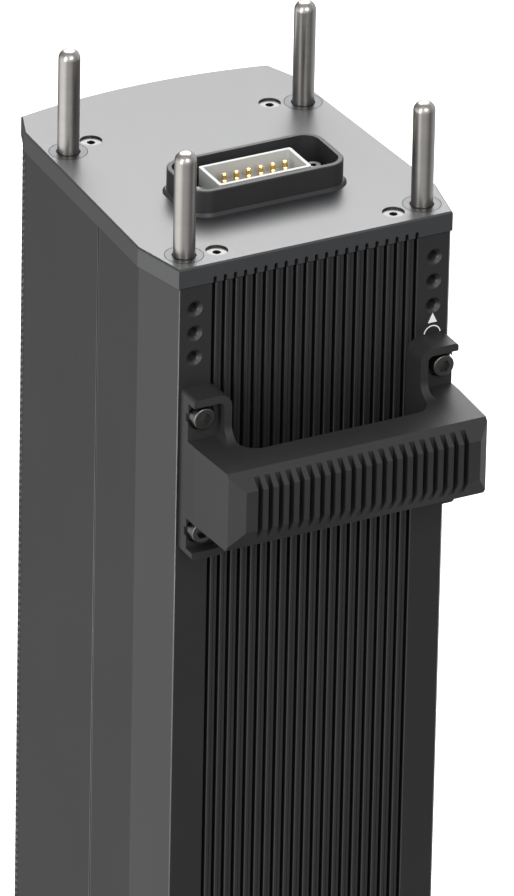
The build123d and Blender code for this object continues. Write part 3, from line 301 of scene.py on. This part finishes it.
def perforated_front():
    """Sheet with real staggered holes, each hole with its wall in a tile of its own."""
    points = front_path()
    distances = np.concatenate([[0], np.cumsum([(b - a).length for a, b in zip(points, points[1:])])])
    length, z0, z1 = float(distances[-1]), GRILLE_LOW[2], GRILLE_HIGH[2]
    columns, rows = int((length - SIDE_MARGIN) / TILE_W), int((z1 - z0 - END_MARGIN) / TILE_H)
    s0, low = (length - columns * TILE_W) / 2, (z0 + z1 - (rows + 0.5) * TILE_H) / 2
    bm = bmesh.new()
    known = {}

    def vertex(s, z, depth=0.0):
        key = (round(s, 6), round(z, 6), depth > 0)
        if key not in known:
            place, outward = along(points, distances, min(max(s, 0.0), length))
            place = place - outward * depth
            known[key] = bm.verts.new((place.x, place.y, z))
        return known[key]

    def plate(sa, sb, za, zb):
        bm.faces.new((vertex(sa, za), vertex(sb, za), vertex(sb, zb), vertex(sa, zb)))

    around = [(-0.5, -0.5), (0, -0.5), (0.5, -0.5), (0.5, 0), (0.5, 0.5), (0, 0.5), (-0.5, 0.5), (-0.5, 0)]
    for column in range(columns):
        s, shift = s0 + (column + 0.5) * TILE_W, (column % 2) * 0.5
        for row in range(rows):
            z = low + (row + 0.5 + shift) * TILE_H
            outer = [vertex(s + u * TILE_W, z + v * TILE_H) for u, v in around]
            ring = [(s + HOLE_R * math.cos(a), z + HOLE_R * math.sin(a))
                    for a in (math.radians(-135 + 45 * i) for i in range(8))]
            rim = [vertex(*p) for p in ring]
            back = [vertex(*p, depth=SHEET_T) for p in ring]
            for i in range(8):
                j = (i + 1) % 8
                bm.faces.new((outer[i], outer[j], rim[j], rim[i]))
                wall = bm.faces.new((rim[i], rim[j], back[j], back[i]))
                wall.material_index = 1
        for sa, sb in ((s - TILE_W / 2, s), (s, s + TILE_W / 2)):
            plate(sa, sb, z0, low + shift * TILE_H)
            plate(sa, sb, low + (rows + shift) * TILE_H, z1)
    levels = [z0] + [low + i * TILE_H / 2 for i in range(2 * rows + 2)] + [z1]
    for sa, sb in ((0.0, s0), (s0 + columns * TILE_W, length)):
        for za, zb in zip(levels, levels[1:]):
            plate(sa, sb, za, zb)
    bmesh.ops.recalc_face_normals(bm, faces=bm.faces[:])
    mesh = bpy.data.meshes.new("perforated_front")
    bm.to_mesh(mesh)
    bm.free()
    obj = piece("perforated_front", mesh, "black_grille")
    mesh.materials.append(MATERIALS["punched_edge"])
    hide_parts("front_grille")


# ---- small details ----------------------------------------------------------------------------------
THREAD_PITCH, THREAD_TURNS, THREAD_STEPS = 1.0 * MM, 4, 28
THREAD_CREST_AT, THREAD_ROOT_AT = 0.45, 0.9         # shares of the pitch
THREAD_ROOT, THREAD_CREST, THREAD_BURIED = -0.02 * MM, -0.35 * MM, 0.05 * MM     # from the hole's wall


def hole_threads():
    """Thread ridges inside the six bracket holes."""
    corners, middle = MOUNTS["bracket_corners"], MOUNTS["bracket_middle"]
    half_x, half_z = corners["dims"]["spacing_x_mm"] / 2 * MM, corners["dims"]["spacing_y_mm"] / 2 * MM
    x, y, z = corners["pos_m"]
    radius = middle["dims"]["hole_r_mm"] * MM
    root, crest, buried = radius + THREAD_ROOT, radius + THREAD_CREST, radius + THREAD_BURIED
    profile = [(root, 0)]
    for i in range(THREAD_TURNS):
        profile.append((crest, (i + THREAD_CREST_AT) * THREAD_PITCH))
        profile.append((root, (i + THREAD_ROOT_AT) * THREAD_PITCH))
    profile += [(buried, THREAD_TURNS * THREAD_PITCH), (buried, 0)]
    turns = [(profile, (x + sx * half_x, y, z + sz * half_z), (0, 1, 0), THREAD_STEPS)
             for sx in (-1, 1) for sz in (-1, 0, 1)]
    obj = piece("bracket_hole_threads", lathes("bracket_hole_threads", turns), "black_anodised")


# foot, tip and arc centre are distances below the lower bracket hole
TRIANGLE_FOOT, TRIANGLE_TIP, TRIANGLE_HALF = 8.2 * MM, 3.6 * MM, 2.15 * MM
ARC_CENTRE, ARC_R, ARC_WIDTH = 13.6 * MM, 4.1 * MM, 0.5 * MM
ARC_START, ARC_SWEEP, ARC_STEPS = 8, 164, 24        # start and sweep in degrees
PRINT_OUT, PRINT_IN = 0.06 * MM, 0.02 * MM          # before and behind the finned face


def print_marks():
    """Plain white triangle and arc printed beside the handle."""
    x, _, z = MOUNTS["bracket_corners"]["pos_m"]
    x += MOUNTS["bracket_corners"]["dims"]["spacing_x_mm"] / 2 * MM
    low_hole = z - MOUNTS["bracket_corners"]["dims"]["spacing_y_mm"] / 2 * MM
    front, back = REAR_Y - PRINT_OUT, REAR_Y + PRINT_IN
    foot, tip, centre = low_hole - TRIANGLE_FOOT, low_hole - TRIANGLE_TIP, low_hole - ARC_CENTRE
    outline = [(x - TRIANGLE_HALF, foot), (x + TRIANGLE_HALF, foot), (x, tip)]
    vertices = [(px, front, pz) for px, pz in outline] + [(px, back, pz) for px, pz in outline]
    faces = [(0, 1, 2), (5, 4, 3), (0, 3, 4, 1), (1, 4, 5, 2), (2, 5, 3, 0)]
    start, inner = len(vertices), ARC_R - ARC_WIDTH
    for i in range(ARC_STEPS + 1):
        angle = math.radians(ARC_START + ARC_SWEEP * i / ARC_STEPS)
        for r, depth in ((ARC_R, front), (inner, front), (inner, back), (ARC_R, back)):
            vertices.append((x + r * math.cos(angle), depth, centre + r * math.sin(angle)))
    for i in range(ARC_STEPS):
        a, b = start + 4 * i, start + 4 * i + 4
        faces += [(a + k, a + (k + 1) % 4, b + (k + 1) % 4, b + k) for k in range(4)]
    end = start + 4 * ARC_STEPS
    faces += [(start, start + 1, start + 2, start + 3), (end + 3, end + 2, end + 1, end)]
    obj = piece("print_marks", mesh_of("print_marks", vertices, faces), "white_print")


# each bead: distance in from the outermost x, distance behind its y line, radius
CORNER_BEAD = (0.25 * MM, 0.22 * MM, 0.32 * MM)
BEAD_STEPS = 10
CORNER_REACH = 0.2 * MM                             # the corner's vertices lie this near the finned face
SEAM_BEADS = ((0.22 * MM, 0.3 * MM, 0.3 * MM), (0.19 * MM, -0.95 * MM, 0.3 * MM))


def column_edge_highlights():
    """Thin beads with painted highlights, standing for the light caught by small bevels: both sides of each
    seam, and the corner beside the finned face.
    """
    low, high = BODY_LOW[2], BODY_HIGH[2]
    panel_low, panel_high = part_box("side_panel_right")
    corner = max(v.co.x for v in nodes["rear_extrusion"].data.vertices if v.co.y < REAR_Y + CORNER_REACH)
    beads = [(corner, REAR_Y, *CORNER_BEAD)] + [(panel_high[0], panel_low[1], *bead) for bead in SEAM_BEADS]
    turns = [([(0, low), (radius, low), (radius, high), (0, high)],
              (side * (x - inward), y + behind, 0), (0, 0, 1), BEAD_STEPS)
             for x, y, inward, behind, radius in beads for side in (-1, 1)]
    # painted highlight: the beads are coloured light to show edge glints on the black column
    obj = piece("column_edge_highlights", lathes("column_edge_highlights", turns), "painted_edge_highlight", smooth=True)


# size of the painted shade ring in the gap round each bush
GAP_INNER_R, GAP_OUTER_R, GAP_UP, GAP_DOWN = 8.15 * MM, 8.45 * MM, 0.03 * MM, -0.3 * MM
GAP_STEPS = 48


def bush_gap_shade():
    """Painted shade in the gap round each flush bush ring in the top cap: a thin dark ring, flush with the
    face.
    """
    pins = MOUNTS["stack_pins"]
    half_x, half_y = pins["dims"]["spacing_x_mm"] / 2 * MM, pins["dims"]["spacing_y_mm"] / 2 * MM
    x, y, z = pins["pos_m"]
    profile = [(GAP_INNER_R, GAP_DOWN), (GAP_INNER_R, GAP_UP),
               (GAP_OUTER_R, GAP_UP), (GAP_OUTER_R, GAP_DOWN)]
    turns = [(profile, (x + sx * half_x, y + sy * half_y, z), (0, 0, 1), GAP_STEPS)
             for sx in (-1, 1) for sy in (-1, 1)]
    # painted shade: a dark ring stands for the shade in the narrow gap round each bush
    obj = piece("bush_gap_shade", lathes("bush_gap_shade", turns), "black_rubber")


perforated_front()
hole_threads()
print_marks()
column_edge_highlights()
bush_gap_shade()


# ---- stage, light and camera ------------------------------------------------------------------------
FLOOR_HALF = 30                                     # metres


def plain_floor():
    """White floor that neither lights the object nor shows in it."""
    corners = [(sx * FLOOR_HALF, sy * FLOOR_HALF, 0) for sx, sy in ((-1, -1), (1, -1), (1, 1), (-1, 1))]
    mesh = mesh_of("floor", corners, [(0, 1, 2, 3)])
    obj = bpy.data.objects.new("floor", mesh)
    bpy.context.scene.collection.objects.link(obj)
    white = surface("floor_white", (0.93, 0.93, 0.93), 0.9, grain=3.0, relief=0.0, change=0.01)
    mesh.materials.append(white)
    obj.visible_diffuse = False
    obj.visible_glossy = False


def soft_light(name, place, target, size, power):
    """Area light facing a target."""
    data = bpy.data.lights.new(name, "AREA")
    data.shape = "RECTANGLE"
    data.size, data.size_y = size
    data.energy = power
    obj = bpy.data.objects.new(name, data)
    obj.location = place
    obj.rotation_euler = (Vector(target) - Vector(place)).to_track_quat("-Z", "Y").to_euler()
    bpy.context.scene.collection.objects.link(obj)


# towards, dot product where the light starts and where it is full, full level
WORLD_LOBES = (
    ((0, 0, 1), -0.3, 0.6, 0.5),
    ((-0.85, 0.30, -0.43), 0.6, 1.0, 1.5),
    ((-0.5, -0.85, 0.1), 0.2, 1.0, 0.8),
    ((0.9, 0.3, -0.2), 0.3, 1.0, 0.7),
)


def world():
    """Light from all round: an even top, a strong side low on the left, and two softer sides."""
    scene_world = bpy.data.worlds.new("studio")
    scene_world.use_nodes = True
    tree = scene_world.node_tree
    coords = tree.nodes.new("ShaderNodeTexCoord").outputs["Generated"]

    def lobe(direction, start, full, level):
        dot = tree.nodes.new("ShaderNodeVectorMath")
        dot.operation = "DOT_PRODUCT"
        dot.inputs[1].default_value = Vector(direction).normalized()
        tree.links.new(coords, dot.inputs[0])
        reach = tree.nodes.new("ShaderNodeMapRange")
        reach.inputs["From Min"].default_value = start
        reach.inputs["From Max"].default_value = full
        reach.inputs["To Max"].default_value = level
        tree.links.new(dot.outputs["Value"], reach.inputs["Value"])
        return reach.outputs["Result"]

    total = lobe(*WORLD_LOBES[0])
    for side in WORLD_LOBES[1:]:
        add = tree.nodes.new("ShaderNodeMath")
        add.operation = "ADD"
        tree.links.new(total, add.inputs[0])
        tree.links.new(lobe(*side), add.inputs[1])
        total = add.outputs["Value"]
    tree.links.new(total, tree.nodes["Background"].inputs["Color"])
    bpy.context.scene.world = scene_world


CAMERA_TURN = (27.948, 27.696, 1.215)               # yaw, pitch and roll in degrees
CAMERA_OFFSET = (-2.0953, -3.8995, 2.2248)          # from the middle of the cap's rear top edge
CAMERA_LENS, CAMERA_SENSOR = 473.4, 36.0            # millimetres


def camera():
    """Long lens from above and to the left of the handle side."""
    yaw, pitch, roll = (math.radians(a) for a in CAMERA_TURN)
    ahead = Vector((math.sin(yaw) * math.cos(pitch), math.cos(yaw) * math.cos(pitch), -math.sin(pitch)))
    right = Vector((math.cos(yaw), -math.sin(yaw), 0))
    up = right.cross(ahead)
    right, up = right * math.cos(roll) + up * math.sin(roll), up * math.cos(roll) - right * math.sin(roll)
    data = bpy.data.cameras.new("camera")
    data.sensor_width = CAMERA_SENSOR
    data.lens = CAMERA_LENS
    data.clip_end = 100.0
    obj = bpy.data.objects.new("camera", data)
    rotation = Matrix((right, up, -ahead)).transposed().to_4x4()
    place = Vector(CAMERA_OFFSET) + Vector((0, CAP_REAR_Y, TOP_Z))
    obj.matrix_world = Matrix.Translation(place) @ rotation
    bpy.context.scene.collection.objects.link(obj)
    bpy.context.scene.camera = obj


# name, place, target, size and power in watts
LIGHTS = (
    ("key_top", (0.9, 2.2, 3.2), (0, 0, TOP_Z), (2.8, 2.8), 165),
    ("left_soft", (-3.2, -1.2, 1.5), (0, 0, 0.4), (1.0, 3.0), 62),
    ("front_high", (-0.3, -3.0, 2.6), (0, 0, 0.5), (1.2, 1.2), 48),
)

plain_floor()
world()
for light in LIGHTS:
    soft_light(*light)
camera()
bpy.context.scene.view_settings.view_transform = "Standard"
